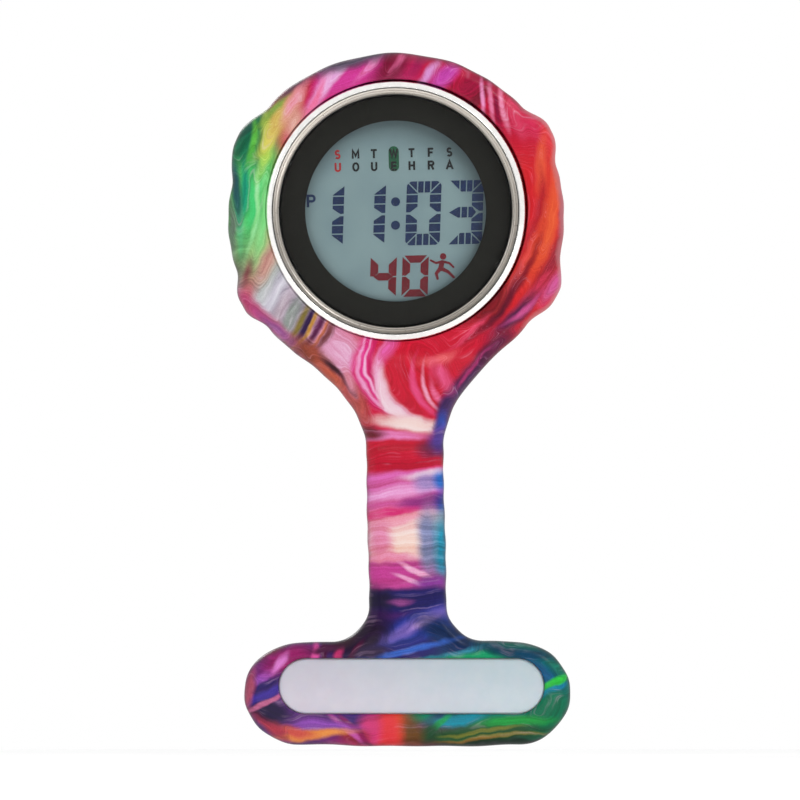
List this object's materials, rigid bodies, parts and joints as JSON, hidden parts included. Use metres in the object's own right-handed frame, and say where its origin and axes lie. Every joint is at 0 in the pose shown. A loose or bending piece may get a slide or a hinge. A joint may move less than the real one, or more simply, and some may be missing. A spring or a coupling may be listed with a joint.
{
  "type": "fob watch",
  "caption": "Round digital fob watch in a marbled silicone holder with a flexible neck and a bar that carries a safety-pin brooch.",
  "frame": {"origin": "middle of the bar, on the axis of the brooch needle behind it", "axes": "+X to the right of someone who looks at the dial, along the needle; +Z from the bar up the neck to the dial; the dial faces -Y"},
  "size_m": [0.0423, 0.0144, 0.0862],
  "materials": {
    "silicone_print": "marbled print under a semi-gloss clear coat on soft silicone",
    "milky_plastic": "milky translucent",
    "brushed_steel": "brushed",
    "pin_steel": "polished nickel",
    "polished_steel": "polished rim with a satin inner band",
    "case_plastic": "plated",
    "crystal_glass": "clear",
    "seal_rubber": "soft",
    "mask_black": "satin black print",
    "lcd_glass": "clear",
    "lcd_film": "grey-green reflective film",
    "lcd_ink_navy": "display segment, on",
    "lcd_ink_red": "display segment, on",
    "lcd_ink_black": "fixed print",
    "lcd_ink_green": "display segment, on",
    "clear_acrylic": "clear",
    "module_plastic": "moulded",
    "board_green": "solder mask",
    "chip_epoxy": "epoxy",
    "led_white": "moulded",
    "small_parts_metal": "nickel plated",
    "capacitor_tan": "ceramic",
    "brass": "rolled",
    "pusher_steel": "turned",
    "spring_steel": "drawn wire"
  },
  "bodies": {
    "bar": {"sleeve_bar": "silicone_print", "sleeve_neck": "silicone_print", "brooch_plate": "milky_plastic", "brooch_base": "brushed_steel", "brooch_rivets": "brushed_steel", "hinge_pin": "pin_steel", "catch_housing": "brushed_steel"},
    "head": {"sleeve_head": "silicone_print", "case_back": "brushed_steel", "case_screws": "brushed_steel", "bezel": "polished_steel", "case_body": "case_plastic", "crystal": "crystal_glass", "crystal_gasket": "seal_rubber", "case_gasket": "seal_rubber", "pusher_seals": "seal_rubber", "zebra_strips": "seal_rubber", "dial_mask_ring": "mask_black", "lcd_front_glass": "lcd_glass", "lcd_rear_glass": "lcd_glass", "lcd_polarizer": "lcd_film", "lcd_reflector": "lcd_film", "light_guide": "clear_acrylic", "module_housing": "module_plastic", "battery_carrier": "module_plastic", "circuit_board": "board_green", "chip_blob": "chip_epoxy", "backlight_led": "led_white", "quartz_crystal": "small_parts_metal", "battery": "small_parts_metal", "battery_strap": "small_parts_metal", "battery_contact": "small_parts_metal", "switch_contacts": "small_parts_metal", "buzzer_spring": "small_parts_metal", "module_screws": "small_parts_metal", "board_capacitors": "capacitor_tan", "piezo_disc": "brass", "pusher_spring_upper_right": "spring_steel", "pusher_spring_upper_left": "spring_steel", "pusher_spring_lower_left": "spring_steel", "pusher_spring_lower_right": "spring_steel"},
    "needle": {"brooch_needle": "pin_steel"},
    "safety_catch": {"safety_catch": "brushed_steel"},
    "pusher_upper_right": {"pusher_upper_right": "pusher_steel", "pusher_clip_upper_right": "pusher_steel"},
    "pusher_upper_left": {"pusher_upper_left": "pusher_steel", "pusher_clip_upper_left": "pusher_steel"},
    "pusher_lower_left": {"pusher_lower_left": "pusher_steel", "pusher_clip_lower_left": "pusher_steel"},
    "pusher_lower_right": {"pusher_lower_right": "pusher_steel", "pusher_clip_lower_right": "pusher_steel"}
  },
  "joints": [
    {"name": "neck_flex", "type": "hinge", "parent": "bar", "child": "head", "pos_m": [0, -0.0051, 0.021], "axis": [1, 0, 0], "range_deg": [-60, 90], "stiffness_Nm_per_rad": 0.03, "deforming": ["sleeve_neck"]},
    {"name": "needle_swing", "type": "hinge", "parent": "bar", "child": "needle", "pos_m": [-0.0124, 0, 0], "axis": [0, 0, 1], "range_deg": [0, 75]},
    {"name": "catch_turn", "type": "hinge", "parent": "bar", "child": "safety_catch", "pos_m": [0.0113, 0, 0], "axis": [1, 0, 0], "range_deg": [0, 90]},
    {"name": "press_upper_right", "type": "slide", "parent": "head", "child": "pusher_upper_right", "axis": [-0.8922, 0, -0.4517], "range_m": [0, 0.0006], "stiffness_N_per_m": 1200, "deforming": ["pusher_spring_upper_right"]},
    {"name": "press_upper_left", "type": "slide", "parent": "head", "child": "pusher_upper_left", "axis": [0.9125, 0, -0.4091], "range_m": [0, 0.0006], "stiffness_N_per_m": 1200, "deforming": ["pusher_spring_upper_left"]},
    {"name": "press_lower_left", "type": "slide", "parent": "head", "child": "pusher_lower_left", "axis": [0.8612, 0, 0.5083], "range_m": [0, 0.0006], "stiffness_N_per_m": 1200, "deforming": ["pusher_spring_lower_left"]},
    {"name": "press_lower_right", "type": "slide", "parent": "head", "child": "pusher_lower_right", "axis": [-0.8842, 0, 0.4672], "range_m": [0, 0.0006], "stiffness_N_per_m": 1200, "deforming": ["pusher_spring_lower_right"]}
  ]
}
